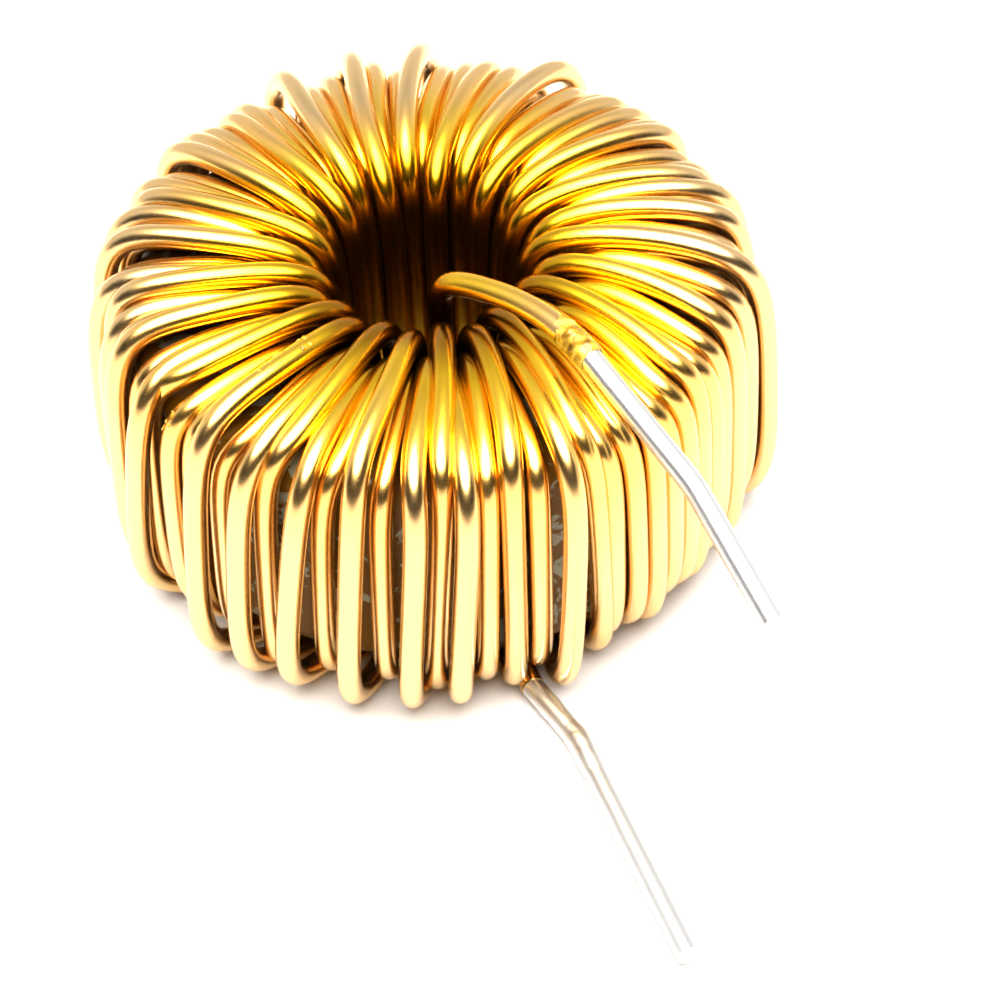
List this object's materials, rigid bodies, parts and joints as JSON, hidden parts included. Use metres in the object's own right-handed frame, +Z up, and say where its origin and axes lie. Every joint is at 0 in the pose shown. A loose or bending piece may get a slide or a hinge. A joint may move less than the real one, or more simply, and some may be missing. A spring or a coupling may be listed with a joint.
{
  "type": "toroidal inductor",
  "caption": "Toroidal inductor: enamelled copper wire wound in piled layers round a powdered iron ring, with two stripped and tinned solder leads.",
  "frame": {"origin": "centre of the coil's underside, on the surface it rests on", "axes": "+Z up along the ring's axis, -Y towards the front, where both leads leave the coil"},
  "size_m": [0.0318, 0.0452, 0.0178],
  "materials": {
    "core_paint": "thin olive-yellow paint with ragged pale grey overspray on the powdered iron ring",
    "enamelled_wire": "glossy gold-amber enamel over round copper wire",
    "tinned_wire": "bright solder, slightly uneven"
  },
  "bodies": {
    "root": {"core": "core_paint", "winding": "enamelled_wire", "upper_lead": "tinned_wire", "lower_lead": "tinned_wire"}
  },
  "joints": []
}
